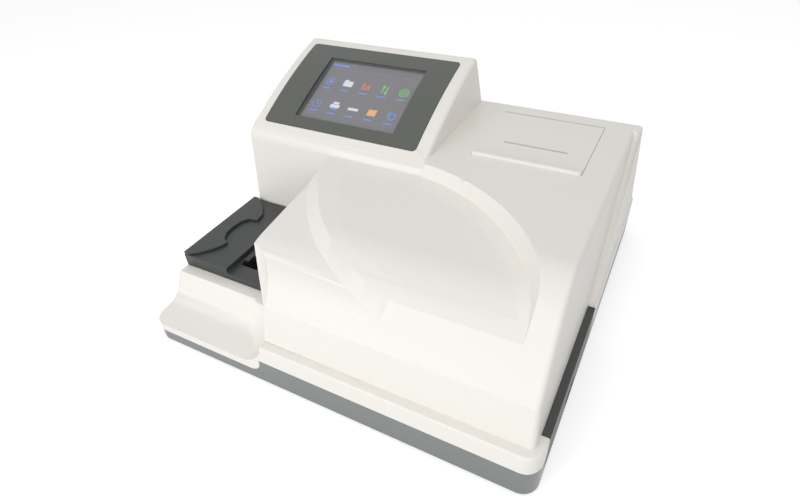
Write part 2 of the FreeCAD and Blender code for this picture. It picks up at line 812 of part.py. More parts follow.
motor_gear_height = platen_height + mesh_distance * math.cos(math.radians(mesh_angle))
motor_gear_x_from_right = (48.8, 45.4)
motor_gear_x = from_right(motor_gear_x_from_right)
motor_gear_radius = 14.0
motor_gear_teeth = 36
half_pitch_share = 0.5
motor_shaft_radius = 1.5


def plateau_under():
    """Height of the underside of the printer deck."""
    return plateau_height - shell_wall


def door_level():
    """Heights of the door plate."""
    return (plateau_height + door_proud - door_thick, plateau_height + door_proud)


def pin_height():
    """Height of the door's hinge line."""
    return plateau_height - pin_drop


def door_plan(grow, low, high):
    """The door's outline, rounded at the front and square at the hinge."""
    box = block(door_x[0] - grow, door_x[1] + grow, door_y[0] - grow, door_y[1] + grow, low, high)
    return box.makeFillet(door_corner + grow, edges_along(box, ALONG_Z, lambda c: c.y - base_front < pin_y))


def printer_seat(shape):
    """Open the deck for the door."""
    return shape.cut(door_plan(joint_gap, plateau_under() - overrun, plateau_height + overrun))


def printer_door():
    low, high = door_level()
    shape = door_plan(0, low, high)
    lip = prism_across([(door_lip_y[0], high - touch_gap),
                        (door_lip_y[0] + joint_gap, high + door_lip_rise),
                        (door_lip_y[0] + door_lip_rise, high + door_lip_rise),
                        (door_lip_y[1], high - touch_gap)], *door_x)
    lip = lip.common(door_plan(0, low, high + 2 * door_lip_rise))
    tail = block(door_x[0] - overrun, door_x[1] + overrun, pin_y, door_y[1] + overrun, low - overrun,
                 high + overrun)
    shape = shape.cut(tail.cut(rod(door_x[0] - overrun, pin_y, pin_height(), door_tail_radius, body_width,
                                   (1, 0, 0))))
    shape = shape.fuse(lip)
    for x0, x1 in knuckle_spans:
        knuckle = rod(x0, pin_y, pin_height(), knuckle_radius, x1 - x0, (1, 0, 0))
        web = block(x0, x1, pin_y - knuckle_radius, pin_y + knuckle_radius, pin_height(), low + touch_gap)
        shape = shape.fuse([knuckle, web])
    for x0, x1 in door_arm_spans:
        arm = block(x0, x1, *door_arm_y, platen_height - platen_radius, low + touch_gap)
        shape = shape.fuse(arm)
    shape = shape.cut(block(*slot_x, *slot_y, low - overrun, high + overrun))
    shape = shape.cut(rod(door_x[0], platen_y, platen_height, platen_shaft_radius + running_gap, body_width,
                          (1, 0, 0)))
    return shape.cut(rod(door_x[0] - overrun, pin_y, pin_height(), pin_radius + running_gap, body_width,
                         (1, 0, 0)))


def door_hinge_pin():
    return rod(ear_spans[0][0], pin_y, pin_height(), pin_radius, ear_spans[1][1] - ear_spans[0][0], (1, 0, 0))


def toothed(x, y, z, radius, teeth, width, turn):
    """A small spur gear with its axis across, turned by a share of its pitch."""
    shape = rod(x, y, z, radius - tooth_depth / 2, width, (1, 0, 0))
    for number in range(teeth):
        angle = 2 * math.pi * (number + turn) / teeth
        half = math.pi * radius / teeth / 2
        tooth = Part.makeBox(width, half, tooth_depth + tooth_depth,
                             FreeCAD.Vector(0, -half / 2, radius - tooth_depth - tooth_depth / 2))
        tooth.rotate(FreeCAD.Vector(0, 0, 0), ALONG_X, math.degrees(angle))
        tooth.translate(spot(x, y, z))
        shape = shape.fuse(tooth)
    return shape


def platen_roller():
    shaft = rod(platen_shaft_x[0], platen_y, platen_height, platen_shaft_radius,
                platen_shaft_x[1] - platen_shaft_x[0], (1, 0, 0))
    return shaft.fuse(rod(platen_x[0], platen_y, platen_height, platen_radius, platen_x[1] - platen_x[0],
                          (1, 0, 0)))


def platen_gear():
    gear = toothed(platen_gear_x[0], platen_y, platen_height, gear_radius, gear_teeth,
                   platen_gear_x[1] - platen_gear_x[0], 0)
    return gear.cut(rod(platen_gear_x[0] - overrun, platen_y, platen_height, platen_shaft_radius, body_width,
                        (1, 0, 0)))


def motor_gear():
    gear = toothed(motor_gear_x[0], motor_gear_y, motor_gear_height, motor_gear_radius, motor_gear_teeth,
                   motor_gear_x[1] - motor_gear_x[0], half_pitch_share)
    return gear.fuse(rod(motor_gear_x[0], motor_gear_y, motor_gear_height, motor_shaft_radius,
                         drive_motor_x[0] + overrun - motor_gear_x[0], (1, 0, 0)))


def printer_motor():
    box = rounded_block(*drive_motor_x, *drive_motor_y, *drive_motor_z, door_corner, ALONG_X)
    return box.cut(rod(drive_motor_x[0] - overrun, motor_gear_y, motor_gear_height,
                       motor_shaft_radius + running_gap, overrun + overrun + joint_gap, (1, 0, 0)))


def printer_tub():
    box = block(*tub_x, *tub_y, *tub_z)
    inner = block(tub_x[0] + tub_wall, tub_x[1] - tub_wall, tub_y[0] + tub_wall, tub_y[1] - tub_wall,
                  tub_z[0] + tub_wall, tub_z[1] + overrun)
    flange = block(*flange_x, *flange_y, *flange_z)
    mouth = block(tub_x[0] + tub_wall, tub_x[1] - tub_wall, tub_y[0] + tub_wall, flange_y[1] - overrun,
                  flange_z[0] - overrun, flange_z[1] + overrun)
    behind = block(tub_x[0] + tub_wall, tub_x[1] - tub_wall, tub_y[1] - tub_wall, flange_y[1] - overrun,
                   tub_z[1] - overrun - overrun, flange_z[1] + overrun)
    shelf = block(tub_x[0], tub_x[1], tub_y[1] - touch_gap, flange_y[1] - overrun + tub_wall,
                  tub_z[1] - overrun - overrun - tub_wall, flange_z[0] + touch_gap)
    room = block(door_x[0] - joint_gap, door_x[1] + joint_gap, pin_y, flange_y[1] - overrun,
                 pin_height() - door_tail_radius - joint_gap, flange_z[1] + overrun)
    shape = box.fuse([flange, shelf]).cut(inner).cut(mouth).cut(behind).cut(room)
    for x0, x1 in ear_spans:
        ear = rod(x0, pin_y, pin_height(), ear_radius, x1 - x0, (1, 0, 0))
        root = block(x0, x1, pin_y - ear_radius, pin_y + ear_radius, pin_height() - ear_drop, pin_height())
        shape = shape.fuse([ear, root])
    shape = shape.cut(rod(ear_spans[0][0] - touch_gap, pin_y, pin_height(), pin_radius,
                          ear_spans[1][1] - ear_spans[0][0] + 2 * touch_gap, (1, 0, 0)))
    return shape.cut(rod(tub_x[1] - overrun, motor_gear_y, motor_gear_height, motor_shaft_radius + joint_gap,
                         overrun + overrun, (1, 0, 0)))


def paper_roll():
    return ring(roll_x[0], roll_y, roll_height, roll_radius, roll_core, roll_x[1] - roll_x[0], (1, 0, 0))


def print_head():
    return block(*head_x, *head_y, *head_z)


def printer_frame():
    base = block(head_x[0], head_x[1], *frame_y, frame_z[0], frame_z[0] + frame_wall)
    wall = block(head_x[0], head_x[1], frame_y[1] - frame_wall, frame_y[1], *frame_z)
    return base.fuse(wall)


# Strip tray: a dark tray with a stepped channel, a raised guide and a pusher below the hood

tray_x_from_left = (0.0, 260.0)
tray_x = from_left(tray_x_from_left)
tray_y = (57.3, 167.6)
tray_z = (44.6, 60.1)
channel_x_from_left = 55.0
channel_x = channel_x_from_left - half_width
channel_rear = 156.0
channel_floor = 54.0
tray_window_x_from_left = (58.0, 254.0)
tray_window_x = from_left(tray_window_x_from_left)
tray_window_y = (74.0, 152.0)
tray_skin = 3.0
guide_z = (60.2, 63.0)
guide_points = ((0.4, 57.6), (5.7, 57.8), (14.7, 63.5), (23.4, 73.2), (28.9, 82.7), (30.2, 88.2),
                (23.0, 92.2), (18.5, 100.0), (17.4, 111.0), (19.0, 122.0), (23.8, 130.0), (33.5, 131.6),
                (31.6, 142.9), (23.3, 153.2), (7.6, 166.7), (0.4, 167.2))
pusher_x_from_left = (59.0, 65.0)
pusher_x = from_left(pusher_x_from_left)
pusher_y = (78.0, 148.0)
pusher_z = (46.4, 57.5)
leg_y = (105.0, 121.0)
nut_x_from_left = (54.0, 70.0)
nut_x = from_left(nut_x_from_left)
nut_z = (16.0, 32.0)
screw_axis_y = 113.0
screw_axis_z = 24.0
lead_radius = 4.0
lead_x_from_left = (33.0, 152.0)
lead_x = from_left(lead_x_from_left)
pusher_motor_x_from_left = (10.0, 38.0)
pusher_motor_x = from_left(pusher_motor_x_from_left)
pusher_motor_y = (99.0, 127.0)
pusher_motor_z = (10.1, 38.0)
bearing_x_from_left = (146.0, 154.0)
bearing_x = from_left(bearing_x_from_left)
bearing_y = (101.0, 125.0)
bearing_z = (3.1, 34.0)


def strip_tray():
    shape = block(*tray_x, *tray_y, *tray_z)
    shape = shape.cut(block(channel_x, tray_x[1] + overrun, tray_y[0] - overrun, channel_rear, channel_floor,
                            tray_z[1] + overrun))
    shape = shape.cut(block(*tray_window_x, *tray_window_y, tray_z[0] - overrun, tray_z[1] + overrun))
    return shape.cut(block(tray_x[0] + tray_skin, channel_x - tray_skin, tray_y[0] + tray_skin,
                           tray_y[1] - tray_skin, tray_z[0] - overrun, tray_z[1] - tray_skin))


def strip_guide_plate():
    return prism_up([(x - half_width, y) for x, y in guide_points], *guide_z)


def strip_pusher():
    bar = block(*pusher_x, *pusher_y, *pusher_z)
    leg = block(*pusher_x, *leg_y, nut_z[1] - touch_gap, pusher_z[0] + touch_gap)
    nut = block(*nut_x, *leg_y, *nut_z)
    shape = bar.fuse([leg, nut])
    return shape.cut(rod(nut_x[0] - overrun, screw_axis_y, screw_axis_z, lead_radius + running_gap,
                         nut_x[1] - nut_x[0] + 2 * overrun, (1, 0, 0)))


def pusher_screw():
    return rod(lead_x[0], screw_axis_y, screw_axis_z, lead_radius, lead_x[1] - lead_x[0], (1, 0, 0))


def pusher_motor():
    box = rounded_block(*pusher_motor_x, *pusher_motor_y, *pusher_motor_z, door_corner, ALONG_X)
    return box.cut(rod(lead_x[0] - joint_gap, screw_axis_y, screw_axis_z, lead_radius + running_gap,
                       body_width, (1, 0, 0)))


def screw_bearing():
    shape = block(*bearing_x, *bearing_y, *bearing_z)
    return shape.cut(rod(bearing_x[0] - overrun, screw_axis_y, screw_axis_z, lead_radius + running_gap,
                         body_width, (1, 0, 0)))


# Waste drawer: catches used strips and slides out to the right on two rails

drawer_x_from_right = (110.0, 0.0)
drawer_x = from_right(drawer_x_from_right)
drawer_front = 4.0
drawer_rim = 2.5
bin_y = (28.0, 160.0)
bin_z = (6.0, 44.0)
bin_wall = 2.0
grip_y = (80.0, 108.0)
grip_z = (9.0, 19.0)
grip_depth = 2.0
rail_x_from_right = (108.0, 6.0)
rail_x = from_right(rail_x_from_right)
rail_y = (24.0, 27.4)
rail_foot = 8.0
rail_top = 14.0
skirt_cut_x_from_right = (20.0, 6.6)
skirt_cut_x = from_right(skirt_cut_x_from_right)


def drawer_seat(shape):
    """Open the skirt and its ledge for the drawer front."""
    low = seam_height - overrun
    y = (drawer_y[0] - joint_gap, drawer_y[1] + joint_gap)
    shape = shape.cut(block(*skirt_cut_x, *y, low, ledge_height - shell_wall))
    return shape.cut(block(skirt_cut_x[1], half_width + overrun, *y, low, ledge_height + overrun))


def waste_drawer():
    box = block(drawer_x[0], drawer_x[1] - drawer_front + touch_gap, *bin_y, *bin_z)
    inner = block(drawer_x[0] + bin_wall, drawer_x[1] - drawer_front, bin_y[0] + bin_wall,
                  bin_y[1] - bin_wall, bin_z[0] + bin_wall, bin_z[1] + overrun)
    front = block(drawer_x[1] - drawer_front, drawer_x[1], *drawer_y, drawer_sill, drawer_top)
    rim = block(skirt_cut_x[1] + joint_gap, drawer_x[1], *drawer_y, drawer_top - drawer_rim, drawer_top)
    shape = box.cut(inner).fuse([front, rim])
    return shape.cut(block(drawer_x[1] - grip_depth, drawer_x[1] + overrun, *grip_y, *grip_z))


def drawer_runners():
    rails = []
    for outer, inner, foot in ((rail_y[0], rail_y[1], rail_y[0] + rail_foot),
                               (drawer_y[0] + drawer_y[1] - rail_y[0], drawer_y[0] + drawer_y[1] - rail_y[1],
                                drawer_y[0] + drawer_y[1] - rail_y[0] - rail_foot)):
        wall = block(*rail_x, min(outer, inner), max(outer, inner), base_floor + touch_gap, rail_top)
        shelf = block(*rail_x, min(outer, foot), max(outer, foot), base_floor + touch_gap,
                      bin_z[0] - touch_gap)
        rails.append(wall.fuse(shelf))
    return group(rails)


# Reader: a carriage on two rods that a belt carries along the strip

deck_x_from_right = (220.0, 116.0)
deck_x = from_right(deck_x_from_right)
deck_yy = (30.0, 182.0)
deck_z = (38.0, 41.0)
deck_rail_y = ((58.0, 72.0), (153.0, 167.0))
deck_rail_top = 44.5
deck_leg_x_from_right = ((218.0, 210.0), (128.0, 120.0))
deck_leg_x = tuple(from_right(span) for span in deck_leg_x_from_right)
deck_leg_y = ((36.0, 44.0), (172.0, 180.0))
tower_x_from_right = (133.4, 131.8)
tower_x = from_right(tower_x_from_right)
tower_y = (26.0, 54.0)
tower_top = 93.0
idler_tower_x_from_right = (133.0, 130.0)
idler_tower_x = from_right(idler_tower_x_from_right)
idler_tower_y = (170.0, 181.0)
idler_tower_top = 86.0
bracket_plate_x_from_right = (202.0, 141.6)
bracket_plate_x = from_right(bracket_plate_x_from_right)
bracket_plate_y = ((44.0, 48.0), (170.0, 174.0))
bracket_plate_z = (41.1, 90.0)
rod_x_from_right = (188.0, 148.0)
rod_x = from_right(rod_x_from_right)
rod_z = 78.0
rod_radius = 3.0
rod_y = (43.0, 175.0)
carriage_x_from_right = (196.0, 141.0)
carriage_x = from_right(carriage_x_from_right)
carriage_y = (50.0, 84.0)
carriage_z = (68.0, 88.0)
clamp_x_from_right = (141.1, 133.7)
clamp_x = from_right(clamp_x_from_right)
clamp_y = (60.0, 74.0)
lens_x_from_right = 168.0
lens_place = (half_width - lens_x_from_right, 67.0)
lens_radius = 6.0
lens_z = (59.0, 78.0)
lamp_x_from_right = (192.0, 144.0)
lamp_x = from_right(lamp_x_from_right)
lamp_y = (53.0, 81.0)
lamp_z = (88.1, 89.7)
lamp_chips = ((8.0, 60.0), (22.0, 66.0), (36.0, 72.0))
chip_size = 5.0
chip_rise = 1.2
belt_x_from_right = (139.8, 134.2)
belt_x = from_right(belt_x_from_right)
pulley_y = (40.0, 176.0)
pulley_radius = 6.0
flange_radius = 7.6
belt_thick = 1.0
pulley_x_from_right = (140.0, 134.0)
pulley_x = from_right(pulley_x_from_right)
flange_width = 0.8
shaft_radius = 2.0
shaft_end_from_right = 128.0
shaft_end = half_width - shaft_end_from_right
optics_motor_x_from_right = (131.7, 106.0)
optics_motor_x = from_right(optics_motor_x_from_right)
optics_motor_y = (27.0, 53.0)
optics_motor_z = (65.0, 91.0)
reference_x_from_right = (180.0, 154.0)
reference_x = from_right(reference_x_from_right)
reference_y = (152.4, 155.7)
reference_z = (54.1, 57.0)


def transport_frame():
    shape = block(*deck_x, *deck_yy, *deck_z)
    shape = shape.cut(block(deck_x[0] + rail_foot, deck_x[1] - rail_foot, deck_rail_y[0][1] + bin_wall,
                            deck_rail_y[1][0] - bin_wall, deck_z[0] - overrun, deck_z[1] + overrun))
    for y0, y1 in deck_rail_y:
        shape = shape.fuse(block(*deck_x, y0, y1, deck_z[1] - touch_gap, deck_rail_top))
    for x0, x1 in deck_leg_x:
        for y0, y1 in deck_leg_y:
            shape = shape.fuse(block(x0, x1, y0, y1, base_floor + touch_gap, deck_z[0] + touch_gap))
    tower = block(*tower_x, *tower_y, deck_z[0], tower_top)
    foot = block(tower_x[0], deck_x[1], tower_y[0], deck_yy[0] + touch_gap, *deck_z)
    idler = block(*idler_tower_x, *idler_tower_y, deck_z[1] - touch_gap, idler_tower_top)
    axle = rod(pulley_x[0] - flange_width, pulley_y[1], rod_z, shaft_radius, idler_tower_x[1] - pulley_x[0],
               (1, 0, 0))
    shape = shape.fuse([tower, foot, idler, axle])
    return shape.cut(rod(pulley_x[1] + touch_gap, pulley_y[0], rod_z, shaft_radius + joint_gap, overrun,
                         (1, 0, 0)))


def optics_rods():
    return group([rod(x, rod_y[0], rod_z, rod_radius, rod_y[1] - rod_y[0], (0, 1, 0)) for x in rod_x])


def rod_brackets():
    plates = []
    for y0, y1 in bracket_plate_y:
        plate = block(*bracket_plate_x, y0, y1, *bracket_plate_z)
        for x in rod_x:
            plate = plate.cut(rod(x, y0 - overrun, rod_z, rod_radius, y1 - y0 + 2 * overrun, (0, 1, 0)))
        plates.append(plate)
    return group(plates)


def optics_carriage():
    shape = block(*carriage_x, *carriage_y, *carriage_z)
    shape = shape.fuse(block(*clamp_x, *clamp_y, rod_z + pulley_radius + belt_thick + joint_gap,
                             carriage_z[1]))
    for x in rod_x:
        shape = shape.cut(rod(x, carriage_y[0] - overrun, rod_z, rod_radius + running_gap,
                              carriage_y[1] - carriage_y[0] + 2 * overrun, (0, 1, 0)))
    x, y = lens_place
    return shape.cut(rod(x, y, carriage_z[0] - overrun, lens_radius + touch_gap,
                         lens_z[1] - carriage_z[0] + overrun, (0, 0, 1)))


def lens_tube():
    x, y = lens_place
    return ring(x, y, lens_z[0], lens_radius, lens_radius - bin_wall, lens_z[1] - lens_z[0], (0, 0, 1))


def lamp_board():
    board = block(*lamp_x, *lamp_y, *lamp_z)
    chips = [block(lamp_x[0] + x, lamp_x[0] + x + chip_size, y, y + chip_size, lamp_z[1] - touch_gap,
                   lamp_z[1] + chip_rise)
             for x, y in lamp_chips]
    return board.fuse(chips)


def pulley(y):
    """A flanged belt pulley with its axis across."""
    shape = rod(pulley_x[0], y, rod_z, pulley_radius, pulley_x[1] - pulley_x[0], (1, 0, 0))
    left = rod(pulley_x[0] - flange_width, y, rod_z, flange_radius, flange_width, (1, 0, 0))
    return shape.fuse(left)


def drive_pulley():
    return pulley(pulley_y[0]).fuse(rod(pulley_x[0], pulley_y[0], rod_z, shaft_radius,
                                        shaft_end - pulley_x[0], (1, 0, 0)))


def idler_pulley():
    return pulley(pulley_y[1]).cut(rod(pulley_x[0] - overrun, pulley_y[1], rod_z, shaft_radius + running_gap,
                                       body_width, (1, 0, 0)))


def belt_loop(grow):
    """The closed side outline of the belt as a solid."""
    radius = pulley_radius + grow
    ends = [rod(belt_x[0], y, rod_z, radius, belt_x[1] - belt_x[0], (1, 0, 0)) for y in pulley_y]
    return block(*belt_x, *pulley_y, rod_z - radius, rod_z + radius).fuse(ends).removeSplitter()


def optics_belt():
    return belt_loop(belt_thick).cut(belt_loop(touch_gap))


def optics_motor():
    box = rounded_block(*optics_motor_x, *optics_motor_y, *optics_motor_z, door_corner, ALONG_X)
    return box.cut(rod(optics_motor_x[0] - overrun, pulley_y[0], rod_z, shaft_radius + running_gap,
                       shaft_end + joint_gap + overrun - optics_motor_x[0], (1, 0, 0)))


def white_reference():
    return block(*reference_x, *reference_y, *reference_z)


# Electronics on the floor of the base

main_x_from_right = (160.0, 30.0)
main_x = from_right(main_x_from_right)
main_y_from_rear = (168.0, 40.0)
main_y = from_rear(main_y_from_rear)
main_z = (10.0, 11.6)
standoff_radius = 3.0
standoff_inset = 7.0
chip_blocks = (((30.0, 54.0), (30.0, 54.0), 2.2), ((74.0, 90.0), (26.0, 50.0), 1.8),
               ((98.0, 120.0), (90.0, 104.0), 9.0), ((14.0, 30.0), (90.0, 106.0), 12.0))
supply_x_from_left = (40.0, 130.0)
supply_x = from_left(supply_x_from_left)
supply_y_from_rear = (132.0, 32.0)
supply_y = from_rear(supply_y_from_rear)
supply_z = (3.1, 40.0)
supply_slots = 8
slot_pitch = 10.0
slot_width = 3.0
slot_inset = 8.0
speaker_x_from_left = 80.0
speaker_place = (speaker_x_from_left - half_width, 205.0)
speaker_radius = 14.0
speaker_z = (3.1, 11.0)


def main_board():
    shape = block(*main_x, *main_y, *main_z)
    for x, y, rise in chip_blocks:
        shape = shape.fuse(block(main_x[0] + x[0], main_x[0] + x[1], main_y[0] + y[0], main_y[0] + y[1],
                                 main_z[1] - touch_gap, main_z[1] + rise))
    return shape


def board_standoffs():
    posts = []
    for x in (main_x[0] + standoff_inset, main_x[1] - standoff_inset):
        for y in (main_y[0] + standoff_inset, main_y[1] - standoff_inset):
            posts.append(rod(x, y, base_floor + touch_gap, standoff_radius,
                             main_z[0] - base_floor - 2 * touch_gap, (0, 0, 1)))
    return group(posts)


def power_supply():
    shape = block(*supply_x, *supply_y, *supply_z)
    inner = block(supply_x[0] + bin_wall, supply_x[1] - bin_wall, supply_y[0] + bin_wall,
                  supply_y[1] - bin_wall, supply_z[0] + bin_wall, supply_z[1] - bin_wall)
    shape = shape.cut(inner)
    for number in range(supply_slots):
        y = supply_y[0] + slot_inset + number * slot_pitch
        shape = shape.cut(block(supply_x[0] + slot_inset, supply_x[1] - slot_inset, y, y + slot_width,
                                supply_z[1] - overrun, supply_z[1] + overrun))
    return shape


def speaker():
    x, y = speaker_place
    return rod(x, y, speaker_z[0], speaker_radius, speaker_z[1] - speaker_z[0], (0, 0, 1))


# Rear panel: a plate behind the leaning rear wall that carries the sockets

rear_mid = 70.0
rear_open_x_from_right = (250.0, 50.0)
rear_open_x = from_right(rear_open_x_from_right)
rear_open_v = (-24.0, 24.0)
rear_plate_margin = 6.0
rear_plate_n = (-4.8, -2.8)
inlet_x_from_right = (236.0, 188.0)
inlet_x = from_right(inlet_x_from_right)
inlet_v = (-14.0, 14.0)
inlet_n = (-26.0, -0.8)
inlet_recess_x_from_right = (227.0, 197.0)
inlet_recess_x = from_right(inlet_recess_x_from_right)
inlet_recess_v = (-9.0, 9.0)
inlet_recess_n = -18.0
blade_x_from_right = (221.0, 212.0, 203.0)
blade_x = from_right(blade_x_from_right)
blade_half = 1.0
blade_rise = 3.0
blade_out = -6.0
switch_x_from_right = (180.0, 158.0)
switch_x = from_right(switch_x_from_right)
switch_v = (-9.0, 9.0)
switch_n = (-18.0, -1.2)
rocker_x_from_right = (177.0, 161.0)
rocker_x = from_right(rocker_x_from_right)
rocker_v = (-6.4, 6.4)
rocker_rise = 1.6
rocker_pivot_n = -3.0
rocker_gap = 1.0
trunnion_radius = 1.2
trunnion_x_from_right = (179.4, 158.6)
trunnion_x = from_right(trunnion_x_from_right)
serial_x_from_right = (146.0, 114.0)
serial_x = from_right(serial_x_from_right)
serial_v = (-6.5, 6.5)
usb_spans_from_right = ((104.0, 90.0), (86.0, 72.0))
usb_spans = tuple(from_right(span) for span in usb_spans_from_right)
usb_v = (-3.5, 3.5)
port_n = (-16.0, -1.4)
port_wall = 1.0
network_x_from_right = (68.0, 54.0)
network_x = from_right(network_x_from_right)
network_v = (-7.0, 7.0)


def on_rear(shape):
    """Carry a shape drawn upright over to the leaning rear wall."""
    shape.rotate(FreeCAD.Vector(0, 0, 0), ALONG_X, rear_lean)
    shape.translate(spot(0, rear_depth(rear_mid), rear_mid))
    return shape


def flat_block(x, v, n, grow=0):
    """A box on the rear wall before it is carried there."""
    return Part.makeBox(x[1] - x[0] + 2 * grow, n[1] - n[0], v[1] - v[0] + 2 * grow,
                        FreeCAD.Vector(x[0] - grow, n[0], v[0] - grow))


def rear_seat(shape):
    """Open the rear wall for the sockets."""
    return shape.cut(on_rear(flat_block(rear_open_x, rear_open_v, (-overrun, overrun))))


def rear_panel():
    plate = flat_block(rear_open_x, rear_open_v, rear_plate_n, rear_plate_margin)
    through = (rear_plate_n[0] - overrun, rear_plate_n[1] + overrun)
    for x, v in ((inlet_x, inlet_v), (switch_x, switch_v), (serial_x, serial_v), (usb_spans[0], usb_v),
                 (usb_spans[1], usb_v), (network_x, network_v)):
        plate = plate.cut(flat_block(x, v, through, touch_gap))
    return on_rear(plate)


def power_inlet():
    body = flat_block(inlet_x, inlet_v, inlet_n)
    body = body.cut(flat_block(inlet_recess_x, inlet_recess_v, (inlet_recess_n, overrun)))
    for number, x in enumerate(blade_x):
        v = blade_rise if number == 1 else -blade_rise
        body = body.fuse(flat_block((x - blade_half, x + blade_half), (v - blade_rise, v + blade_rise),
                                    (inlet_recess_n - touch_gap, blade_out)))
    return on_rear(body)


def trunnion(grow):
    """The rocker's axle before it is carried to the rear wall."""
    return Part.makeCylinder(trunnion_radius + grow, trunnion_x[1] - trunnion_x[0] + 2 * grow,
                             FreeCAD.Vector(trunnion_x[0] - grow, rocker_pivot_n, 0), ALONG_X)


def switch_body():
    body = flat_block(switch_x, switch_v, switch_n)
    body = body.cut(flat_block(rocker_x, rocker_v, (rocker_pivot_n - overrun, overrun), rocker_gap))
    return on_rear(body.cut(trunnion(running_gap)))


def power_rocker():
    half = (rocker_v[1] - rocker_v[0]) / 2
    low = rocker_pivot_n - rocker_rise
    face = switch_n[1]
    points = [(-half, face - rocker_rise), (0, face - rocker_rise + touch_gap), (half, face + rocker_rise),
              (half, low), (-half, low)]
    corners = [FreeCAD.Vector(rocker_x[0], n, v) for v, n in points]
    outline = Part.Face(Part.makePolygon(corners + corners[:1]))
    paddle = outline.extrude(FreeCAD.Vector(rocker_x[1] - rocker_x[0], 0, 0))
    return on_rear(paddle.fuse(trunnion(0)))


def port(x, v):
    """A metal socket shell with its tongue."""
    shell = flat_block(x, v, port_n)
    shell = shell.cut(flat_block(x, v, (port_n[0] + bin_wall, overrun), -port_wall))
    middle = (v[0] + v[1]) / 2
    tongue = flat_block((x[0] + bin_wall + port_wall, x[1] - bin_wall - port_wall),
                        (middle - port_wall, middle + port_wall),
                        (port_n[0] + port_wall, port_n[1] - bin_wall))
    return shell.fuse(tongue)


def serial_port():
    return on_rear(port(serial_x, serial_v))


def usb_ports():
    return group([on_rear(port(x, usb_v)) for x in usb_spans])


def network_port():
    shell = flat_block(network_x, network_v, port_n)
    return on_rear(shell.cut(flat_block(network_x, network_v, (port_n[0] + bin_wall, overrun), -port_wall)))


# Clear film on the hood: a leaf with a round right side

film_x_left = ((-56.7, 157.6), (-37.8, 118.5), (-10.5, 85.2))
film_low = ((-10.5, 85.2), (19.8, 64.5), (54.0, 55.3))
film_front = ((54.0, 55.3), (101.0, 52.0), (149.2, 53.5))
film_right = ((149.2, 53.5), (111.0, 112.0), (18.8, 158.5))
film_thick = 0.35


def label_film():
    edges = []
    for a, b, c in (film_x_left, film_low, film_front, film_right):
        edges.append(Part.Arc(spot(*a, ledge_height), spot(*b, ledge_height),
                              spot(*c, ledge_height)).toShape())
    edges.append(Part.LineSegment(spot(*film_right[2], ledge_height),
                                  spot(*film_x_left[0], ledge_height)).toShape())
    plan = Part.Face(Part.Wire(edges)).extrude(FreeCAD.Vector(0, 0, display_height - ledge_height))
    skin = above_curve(middle_floor, -running_gap).cut(above_curve(middle_floor, -film_thick))
    return skin.common(plan)


# Write every sub-part

def top_cover():
    shape = display_seat(cover_shell())
    shape = drawer_seat(rear_seat(printer_seat(shape)))
    shape = shape.cut(block(*pocket_window_x, *pocket_window_y, pocket_floor - 2 * overrun,
                            pocket_floor + touch_gap))
    for x, y in screw_places:
        shape = shape.cut(rod(x, y, seam_height - overrun, screw_radius, screw_tip + overrun - seam_height,
                              (0, 0, 1)))
    return shape


for piece in (base_chassis, rubber_feet, cover_screws, top_cover, screen_bezel, touch_panel, lcd_module,
              display_bracket, display_board, display_screws, printer_door, door_hinge_pin, platen_roller,
              platen_gear, motor_gear, printer_motor, printer_tub, paper_roll, print_head, printer_frame,
              strip_tray, strip_guide_plate, strip_pusher, pusher_screw, pusher_motor, screw_bearing,
              waste_drawer, drawer_runners, transport_frame, optics_rods, rod_brackets, optics_carriage,
              lens_tube, lamp_board, drive_pulley, idler_pulley, optics_belt, optics_motor, white_reference,
              main_board, board_standoffs, power_supply, speaker, rear_panel, power_inlet, switch_body,
              power_rocker, serial_port, usb_ports, network_port, label_film):
    save(piece.__name__, piece())
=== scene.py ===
import math

import bpy
from mathutils import Matrix, Vector


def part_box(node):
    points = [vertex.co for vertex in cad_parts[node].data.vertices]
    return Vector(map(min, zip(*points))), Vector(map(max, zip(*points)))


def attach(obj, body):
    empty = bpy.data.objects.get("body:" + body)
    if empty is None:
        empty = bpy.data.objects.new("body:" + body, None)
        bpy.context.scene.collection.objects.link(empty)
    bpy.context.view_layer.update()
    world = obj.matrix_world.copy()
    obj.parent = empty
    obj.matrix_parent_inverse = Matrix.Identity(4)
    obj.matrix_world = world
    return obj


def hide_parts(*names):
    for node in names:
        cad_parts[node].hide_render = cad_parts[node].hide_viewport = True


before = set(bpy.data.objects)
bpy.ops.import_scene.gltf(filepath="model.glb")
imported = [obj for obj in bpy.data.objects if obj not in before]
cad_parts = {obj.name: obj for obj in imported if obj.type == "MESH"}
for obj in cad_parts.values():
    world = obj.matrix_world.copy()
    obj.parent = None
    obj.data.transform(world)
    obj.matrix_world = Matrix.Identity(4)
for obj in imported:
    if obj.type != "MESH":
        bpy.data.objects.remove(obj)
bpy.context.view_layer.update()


# Base chassis
# One injection moulding in dark grey ABS that carries everything else; it is drawn lighter than the tray
# and part metallic, as a painted sheen.
# Its skin has a fine spark-eroded grain, and its edges are rounded by the mould.

def linear(code):
    """A colour written as sRGB hex, as the linear values that a shader takes."""
    parts = [int(code[place:place + 2], 16) / 255 for place in (0, 2, 4)]
    return [p / 12.92 if p <= 0.04045 else ((p + 0.055) / 1.055) ** 2.4 for p in parts] + [1.0]


def add_node(material, kind, settings=None, sockets=None, links=None):
    """Adds one node to a material, with its settings, socket values and incoming links."""
    tree = material.node_tree
    made = tree.nodes.new(kind)
    for name, value in (settings or {}).items():
        setattr(made, name, value)
    for name, value in (sockets or {}).items():
        made.inputs[name].default_value = value
    for name, source in (links or {}).items():
        tree.links.new(source, made.inputs[name])
    return made


def new_material(name):
    """An empty material with only its output."""
    material = bpy.data.materials.new(name)
    material.use_nodes = True
    material.node_tree.nodes.clear()
    return material


def show(material, shader):
    """Joins a shader to the material's output."""
    add_node(material, "ShaderNodeOutputMaterial", links={"Surface": shader})
    return material


MM = 0.001
GRAIN_HEIGHT = 0.1
PLASTIC_IOR = 1.53


